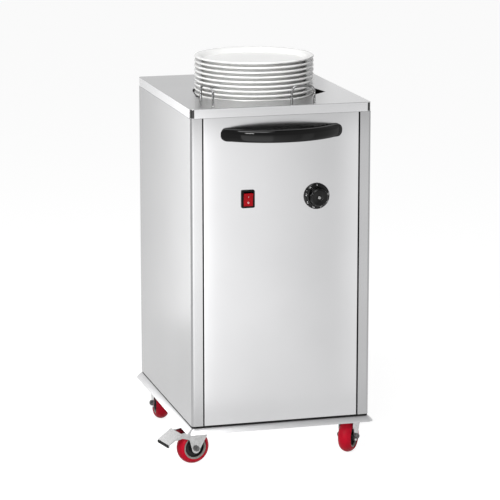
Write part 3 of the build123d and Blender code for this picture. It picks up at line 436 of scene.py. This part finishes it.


# The castors' steel: forks, mounting plates and brake pedals are pressed from thick sheet, and
# the axle bolts and the bolts under the base hold them. All are zinc plated. The mounting plates,
# the axle bolts and the bolts under the base are made far darker: painted shade under the tray
# and round the nuts.
def plated(name, tone, roughness, mottle=110):
    """Bright zinc: metallic, with small cloudy patches that differ in shade and gloss."""
    material, tree, shader, place = new_finish(name, metallic=1)
    patches = add_node(tree, "TexNoise", Scale=mottle, Detail=5.0, Roughness=0.7)
    shade = add_node(tree, "MapRange", From_Min=0.3, From_Max=0.7,
                     To_Min=tone * 0.82, To_Max=tone * 1.15)
    gloss = add_node(tree, "MapRange", To_Min=roughness * 0.8, To_Max=roughness * 1.25)
    colour = add_node(tree, "CombineColor")
    bump = add_node(tree, "Bump", Strength=0.06, Distance=0.0002)
    wired(tree,
          (place, patches.inputs["Vector"]),
          (patches.outputs["Fac"], shade.inputs["Value"]),
          (shade.outputs["Result"], colour.inputs["Red"]),
          (shade.outputs["Result"], colour.inputs["Green"]),
          (shade.outputs["Result"], colour.inputs["Blue"]),
          (colour.outputs["Color"], shader.inputs["Base Color"]),
          (patches.outputs["Fac"], gloss.inputs["Value"]),
          (gloss.outputs["Result"], shader.inputs["Roughness"]),
          (patches.outputs["Fac"], bump.inputs["Height"]),
          (bump.outputs["Normal"], shader.inputs["Normal"]))
    return material


def dress(material, *names):
    """Gives CAD nodes their finish, in place of the plain colour that they were packed with."""
    for name in names:
        slots = frame["nodes"][name].data.materials
        for index in range(len(slots)):
            slots[index] = material


zinc = plated("zinc", 0.4, 0.22)
# A far darker zinc: painted shade for the mounting plates and bolts under the tray.
shaded_zinc = plated("shaded_zinc", 0.12, 0.3)
for place in places:
    dress(zinc, f"castor_fork_{place}")
    dress(shaded_zinc, f"castor_plate_{place}", f"axle_bolt_{place}")
dress(zinc, "brake_pedal_front_left", "brake_pedal_rear_right")
dress(shaded_zinc, "castor_bolts")


# Each brake pedal has a strip of black laid over the edge of its turned-down lip: painted shade
# along that edge.
def capped(rows):
    """A grid whose first and last rows are closed, each by its own middle point."""
    ends = [np.broadcast_to(row.mean(axis=0), row.shape)[None] for row in (rows[0], rows[-1])]
    return np.concatenate([ends[0], rows, ends[1]])


def carried(path, outline, level):
    """An outline carried along a path in a plane whose normal is `level`: its first coordinate lies
    in that plane, across the path, and its second along the normal. Both ends are closed."""
    ahead = np.gradient(path, axis=0)
    ahead /= np.linalg.norm(ahead, axis=1)[:, None]
    across = np.cross(ahead, level)
    rows = path[:, None] + outline[None, :, :1] * across[:, None] + outline[None, :, 1:] * level
    return capped(rows)


# Black rubber for the cabinet's joint strip, and painted shade for the pedals' lip strips.
joint_rubber_and_lip_shade = moulded("joint_rubber_and_lip_shade", (0.008, 0.008, 0.008), 0.6, relief=0.3, sheen=0.1)
lip_reach = 0.0977
lip_height = 0.0595
lip_half = 0.0295
lip_section = rounded_ring(0.0014, 0.0034, 0.0012, steps=3)
flat = (1, 1, 0)
for place in ("front_left", "rear_right"):
    king_pin = np.array(joints[f"swivel_{place}"]["pos_m"]) * flat
    pedal_pin = joints[f"pedal_{place}"]
    trail = np.array(pedal_pin["pos_m"]) * flat - king_pin
    lip = king_pin + trail / np.linalg.norm(trail) * lip_reach + (0, 0, lip_height)
    lip_run = lip + np.linspace(-lip_half, lip_half, 7)[:, None] * np.array(pedal_pin["axis"])
    strip_form = carried(lip_run, lip_section, (0, 0, 1))
    strip = joined(f"pedal_strip_{place}", joint_rubber_and_lip_shade, f"pedal_{place}", strip_form)


# The cabinet's skin: two side panels bent round the corners, a front panel between their returns,
# a flat back and a folded top, all in satin stainless sheet, on a black rubber strip. It is one
# steel in shaded copies: the sides and back are made much darker and the front a little darker
# than the top, painted shade for how the light falls on each face.
side_steel_shaded = steel("side_steel_shaded", upright_grain, tone=0.36, roughness=0.25)
front_steel_shaded = steel("front_steel_shaded", upright_grain, tone=0.49, roughness=0.18)
top_steel = steel("top_steel", (6, 900, 900), tone=0.58, roughness=0.25)
dress(side_steel_shaded, "side_panel_left", "side_panel_right", "back_panel")
dress(front_steel_shaded, "front_panel")
dress(top_steel, "top_plate")
dress(joint_rubber_and_lip_shade, "joint_strip")


# Inside the cabinet, posts, rod blocks, the plate well, its heat shield and the platform are plain
# stainless sheet and bar, made darker than the outer steel, and the frame under the top is black:
# both painted shade of the dark inside, seen through the top's corner notches. The guide rods are
# ground bright, and the platform's arm slides on them in acetal bushes.
inner_steel = steel("inner_steel", upright_grain, tone=0.3, roughness=0.35)
bright_bar = plated("bright_bar", 0.8, 0.12, mottle=15)
spring_steel = plated("spring_steel", 0.35, 0.35)
frame_shade_black = moulded("frame_shade_black", (0.03, 0.03, 0.03), 0.5)
bush_acetal = moulded("bush_acetal", (0.82, 0.8, 0.74), 0.4)
dress(frame_shade_black, "top_frame")
dress(inner_steel, "corner_posts", "upper_rod_blocks", "lower_rod_blocks")
dress(inner_steel, "plate_well", "heat_shield", "carriage_arm", "plate_platform")
dress(bright_bar, "guide_rods")
dress(zinc, "stop_collars", "back_screws", "handle_screws", "thermostat_spindle", "wire_loop_nuts")
dress(spring_steel, "tension_springs")
dress(bush_acetal, "carriage_bushes")


# The heating and its wiring: a dark sheathed element on ceramic posts, a copper bulb and its
# capillary, black sleeved leads and a black terminal block. The cable gland and the switch's
# housing are the same black plastic.
element_sheath = plated("element_sheath", 0.12, 0.45)
post_ceramic = moulded("post_ceramic", (0.78, 0.76, 0.7), 0.5)
black_plastic = moulded("black_plastic", (0.004, 0.004, 0.004), 0.42, relief=0.15, sheen=0.08)
lead_sleeve = moulded("lead_sleeve", (0.02, 0.02, 0.02), 0.5)
copper = plated("copper", 0.5, 0.3)
dress(element_sheath, "heating_element")
dress(post_ceramic, "element_posts")
dress(black_plastic, "terminal_block", "thermostat_body", "cable_gland", "switch_housing")
dress(lead_sleeve, "wiring")
dress(copper, "sensing_bulb", "capillary")


# The plates: plain white glazed dinner plates with a soft flat rim, stacked on their foot rings.
# Each is a pressed clay disc, glazed and fired, and all are alike.
glaze = moulded("glaze", (0.94, 0.94, 0.93), 0.16, speck=30, variation=0.01, relief=0.01, sheen=0.3)
low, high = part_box("plate_stack")
stack_foot = low.z
plate_radius = (high.x - low.x) / 2
plate_middle = ((low.x + high.x) / 2, (low.y + high.y) / 2, 0)
plate_count = 14
plate_rise = 0.024
pitch = (high.z - low.z - plate_rise) / (plate_count - 1)
floor_level = pitch - 0.0002
under_floor = floor_level - 0.0058
foot = 0.128
rim_start = foot + 0.006
plate_line = eased([
    (0, floor_level), (foot - 0.002, floor_level), (rim_start, plate_rise - 0.0042),
    (plate_radius - 0.009, plate_rise - 0.0006), (plate_radius - 0.0012, plate_rise),
    (plate_radius, plate_rise - 0.0012), (plate_radius, plate_rise - 0.0044),
    (plate_radius - 0.0015, plate_rise - 0.0050), (plate_radius - 0.014, plate_rise - 0.0062),
    (rim_start, plate_rise - 0.0104), (foot + 0.002, floor_level - 0.0056), (foot, 0.0008),
    (foot - 0.0008, 0), (foot - 0.008, 0), (foot - 0.009, 0.0008),
    (foot - 0.011, under_floor), (0, under_floor)], 0.0014, steps=3)
stack = [turned(plate_line + (0, stack_foot + k * pitch), plate_middle, (0, 0, 1), steps=108)
         for k in range(plate_count)]
plates = joined("plates", glaze, "plates", *stack, crease=50)
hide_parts("plate_stack")


# Four hoops of polished wire stand on the top and fence the stack, each turned a little from the
# round of the mouth. They are threaded at the foot and held by nuts under the sheet.
wire_chrome = plated("wire_chrome", 0.22, 0.1, mottle=10)
top_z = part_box("top_plate")[1].z
fence_radius = 0.2
hoop_azimuths = (219, 292, 39, 112)
hoop_twist = 68
hoop_half = 0.029
hoop_bend = 0.018
hoop_crown = top_z + 0.0355
hoop_foot = top_z - 0.0105
wire_radius = 0.0029
wire_turn = np.linspace(0, 2 * pi, 16, endpoint=False)
wire = wire_radius * np.column_stack([np.cos(wire_turn), np.sin(wire_turn)])
hoops = []
for azimuth in hoop_azimuths:
    out = np.array([cos(radians(azimuth)), sin(radians(azimuth)), 0])
    along = np.array([cos(radians(azimuth + hoop_twist)), sin(radians(azimuth + hoop_twist)), 0])
    centre = plate_middle + fence_radius * out
    corners = [centre + side * hoop_half * along + (0, 0, z)
               for side, z in ((-1, hoop_foot), (-1, hoop_crown), (1, hoop_crown), (1, hoop_foot))]
    hoops.append(carried(eased(corners, hoop_bend, steps=12), wire, np.cross(along, (0, 0, 1))))
hoop_piece = joined("hoops", wire_chrome, "cabinet", *hoops)
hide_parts("wire_loops")


# The handle is one black phenolic moulding, glossy from its mould. It bows out between two broad
# feet that lie against the front panel, where screws from inside hold it.
bakelite = moulded("bakelite", (0.0005, 0.0005, 0.0005), 0.08, speck=40, relief=0.01, sheen=0.2)
low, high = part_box("handle")
panel_y = high.y
handle_middle = (low.z + high.z) / 2
grip_half = (high.z - low.z) / 2
grip_reach = high.x
grip_thickness = 0.018
end_round = 0.014
bow_depth = 0.058
bow_overrun = 0.012
bow_sag = bow_depth + bow_overrun
bow_radius = (grip_reach**2 + bow_sag**2) / (2 * bow_sag)
bow_centre = bow_radius - bow_depth
# Two arcs about one centre give the bow's outside and inside, cut off where they meet the panel.
x = grip_reach * np.sin(np.linspace(-pi / 2, pi / 2, 73)) * 0.9985
outer = np.sqrt((bow_radius + grip_thickness / 2) ** 2 - x**2) - bow_centre
inner = np.sqrt((bow_radius - grip_thickness / 2) ** 2 - x**2) - bow_centre
inner = np.maximum(inner, 0)
past_end = np.maximum(np.abs(x) - (grip_reach - end_round), 0)
half_z = grip_half - end_round + np.sqrt(end_round**2 - past_end**2)
half_y = (outer - inner) / 2
# The section is a superellipse: the sine and cosine of a turn, each to the power of its crown.
grip_crown = 0.72
grip_turn = np.linspace(0, 2 * pi, 48, endpoint=False)
section = np.column_stack([np.cos(grip_turn), np.sin(grip_turn)])
section = np.sign(section) * np.abs(section) ** grip_crown
grip_y = section[:, 0] * half_y[:, None] + (panel_y - (outer + inner) / 2)[:, None]
grip_z = section[:, 1] * half_z[:, None] + handle_middle
grip_x = np.broadcast_to(x[:, None], grip_y.shape)
grip_form = capped(np.stack([grip_x, grip_y, grip_z], -1))
handle = joined("handle_bar", bakelite, "cabinet", grip_form, crease=50)
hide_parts("handle")


# The rocker switch: a red translucent key, moulded with a hollow face, that tips on a pin in its
# black housing. It is marked I and O in white.
def printed(name, text, size, origin, right, up, body, material):
    """Characters as a thin raised mesh, centred on a point and set along two directions."""
    curve = bpy.data.curves.new(name, "FONT")
    curve.body = text
    curve.size = size
    curve.align_x = "CENTER"
    curve.align_y = "CENTER"
    curve.extrude = ink_height
    holder = bpy.data.objects.new(name, curve)
    scene.collection.objects.link(holder)
    bpy.context.view_layer.update()
    mesh = bpy.data.meshes.new_from_object(holder)
    bpy.data.objects.remove(holder)
    flat_points = np.empty(len(mesh.vertices) * 3)
    mesh.vertices.foreach_get("co", flat_points)
    placed = origin + flat_points.reshape(-1, 3) @ np.array([right, up, np.cross(right, up)])
    mesh.vertices.foreach_set("co", placed.ravel())
    mesh.materials.clear()
    mesh.materials.append(material)
    mesh.update()
    piece = bpy.data.objects.new(name, mesh)
    scene.collection.objects.link(piece)
    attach(piece, body)
    return piece


rocker_red = moulded("rocker_red", (0.3, 0.002, 0.006), 0.25, sheen=0.1)
white_ink = moulded("white_ink", (0.8, 0.8, 0.8), 0.4)
ink_height = 0.00012
pivot = np.array(joints["rocker"]["pos_m"])
tilt = radians(9)
outward = np.array([0, -cos(tilt), -sin(tilt)])
upward = np.array([0, -sin(tilt), cos(tilt)])
sideways = np.array([1.0, 0, 0])
key_half = 0.0115
key_root, root_half = -0.003, 0.0053
key_flank = 0.007
face_nose, face_half = 0.012, 0.016
face_dish, dish_half = 0.0096, 0.004
# The key's outline is seen from its side, as (outward, upward) from the pin, and its end faces are
# the same outline drawn in a little towards a point 5 mm in front of the pin.
side_line = eased([(key_root, 0), (key_root, root_half), (key_flank, face_half),
                   (face_nose, face_half), (face_dish, dish_half), (face_dish, -dish_half),
                   (face_nose, -face_half), (key_flank, -face_half), (key_root, -root_half),
                   (key_root, 0)], 0.0012)[:-1]
ends_in = eased([(-1, 0.94), (-1, 1), (-0.9, 1)], 0.5)
ends_in = np.concatenate([ends_in, ends_in[::-1] * (-1, 1)])
across, share = ends_in[:, 0, None, None], ends_in[:, 1, None, None]
draw_point = 0.005
key_form = (pivot + sideways * key_half * across
            + ((side_line[:, :1] - draw_point) * share + draw_point) * outward
            + side_line[:, 1:] * share * upward)
key = joined("rocker_key", rocker_red, "rocker", capped(key_form), crease=50)
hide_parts("rocker")

mark_size = 0.0065
mark_up = 0.0075
face_lean = np.arctan2(face_nose - face_dish, face_half - dish_half)
mark_out = face_dish + (mark_up - dish_half) * np.tan(face_lean)
for name, text, side in (("mark_on", "I", 1), ("mark_off", "O", -1)):
    face_up = upward * cos(face_lean) + side * outward * sin(face_lean)
    spot = pivot + outward * mark_out + side * upward * mark_up
    mark = printed(name, text, mark_size, spot, sideways, face_up, "rocker", white_ink)


# The thermostat's dial: a black moulding with a skirt that bears white numbers and a ribbed grip,
# and a bright metal button over the screw that holds it to its spindle.
low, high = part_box("thermostat_knob")
dial = np.array([(low.x + high.x) / 2, high.y, (low.z + high.z) / 2])
ahead = np.array([0, -1.0, 0])
skirt_radius = (high.x - low.x) / 2
dial_depth = high.y - low.y
cap_depth = dial_depth - 0.0024
grip_radius = 0.023
grip_edge = grip_radius + 0.0006
skirt = eased([(0, 0), (skirt_radius - 0.001, 0), (skirt_radius, 0.0012), (skirt_radius, 0.0032),
               (skirt_radius - 0.0022, 0.0048), (grip_radius + 0.003, 0.0056),
               (grip_edge, 0.0066)], 0.0015)
grip = eased([(grip_edge, 0.0066), (grip_radius - 0.0003, 0.009),
              (grip_radius - 0.0012, dial_depth - 0.003), (grip_radius - 0.0035, dial_depth),
              (grip_radius - 0.007, dial_depth - 0.0004), (0.0085, dial_depth - 0.0016),
              (0.0075, cap_depth), (0, cap_depth)], 0.0018)
dial_line = np.concatenate([skirt, grip[1:]])
# Ribs: the grip's radius is less by a squared cosine wave round it, which fades at both its ends.
rib_count = 36
rib_depth = 0.035
rib_middle = 0.0165
rib_reach = 0.0068
dial_steps = 8 * rib_count
dial_turn = np.linspace(0, 2 * pi, dial_steps, endpoint=False)
on_grip = np.exp(-(((dial_line[:, 1] - rib_middle) / rib_reach) ** 4))
on_grip *= dial_line[:, 0] > grip_radius - 0.004
rib = 1 - rib_depth * on_grip[:, None] * (0.5 - 0.5 * np.cos(rib_count * dial_turn)) ** 2
on_axis = dial + dial_line[:, 1, None, None] * ahead
dial_form = on_axis + (turned(dial_line, dial, ahead, dial_steps) - on_axis) * rib[:, :, None]
knob = joined("dial_knob", bakelite, "knob", dial_form, crease=45)
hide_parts("thermostat_knob")

button_radius = 0.0042
button_line = eased([(0, -0.001), (button_radius, -0.001), (button_radius, 0.0008),
                     (0.0026, 0.0018), (0, 0.002)], 0.001)
button_form = turned(button_line + (0, cap_depth), dial, ahead, steps=64)
button_piece = joined("dial_button", wire_chrome, "knob", button_form)

number_size = 0.0058
number_radius = 0.0278
number_depth = 0.00535
number_spacing = 40
for k, label in enumerate(("0", "30", "40", "50", "60", "70", "80", "90")):
    angle = radians(90 + k * number_spacing)
    out = np.array([cos(angle), 0, sin(angle)])
    reading = np.array([sin(angle), 0, -cos(angle)])
    spot = dial + out * number_radius + ahead * number_depth
    mark = printed(f"dial_number_{k}", label, number_size, spot, reading, out, "knob", white_ink)
